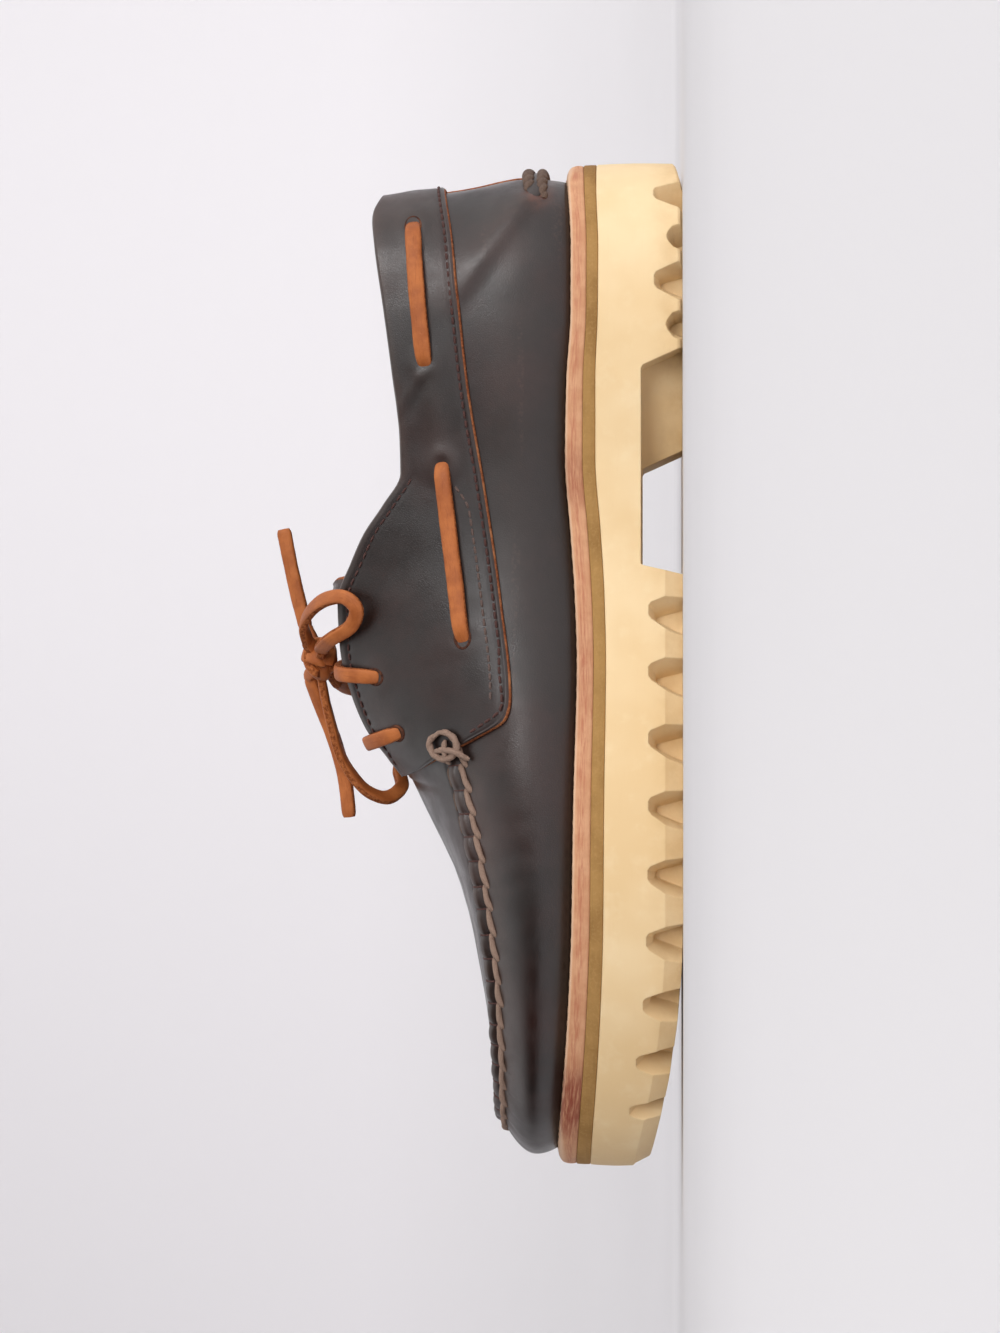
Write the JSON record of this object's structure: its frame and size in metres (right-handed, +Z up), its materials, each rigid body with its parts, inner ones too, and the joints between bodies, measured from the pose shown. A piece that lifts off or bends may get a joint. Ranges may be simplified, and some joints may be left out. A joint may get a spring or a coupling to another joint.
{
  "type": "boat shoe",
  "caption": "Left boat shoe with a hand-sewn moccasin toe, rawhide collar lace tied in a bow, leather welt and a thick lug sole.",
  "frame": {"origin": "middle of the sole's footprint box, on the floor", "axes": "+Z up, -Y towards the toe, +Y towards the heel, +X towards the outer side of the left foot"},
  "size_m": [0.1088, 0.3, 0.122],
  "materials": {
    "upper_leather": "dark brown pull-up leather, soft sheen",
    "rubber_cream": "cream crepe-coloured rubber, satin",
    "foam_khaki": "khaki rubber layer, matt",
    "welt_leather": "natural tan leather edge with red-brown streaks",
    "insole_leather": "plain leather sock, matt",
    "rawhide": "rust-tan rawhide lace, waxy faces and fuzzy cut sides"
  },
  "bodies": {
    "root": {"outsole": "rubber_cream", "midsole": "foam_khaki", "welt": "welt_leather", "insole": "insole_leather", "upper": "upper_leather", "tongue": "upper_leather", "collar_saddle": "upper_leather", "lace_side_outer_rear": "rawhide", "lace_side_outer_front": "rawhide", "lace_side_inner_rear": "rawhide", "lace_side_inner_front": "rawhide", "lace_bar_front": "rawhide", "lace_bar_rear": "rawhide", "lace_knot": "rawhide", "lace_loop_outer": "rawhide", "lace_loop_inner": "rawhide", "lace_end_rear": "rawhide", "lace_end_front": "rawhide"}
  },
  "joints": []
}
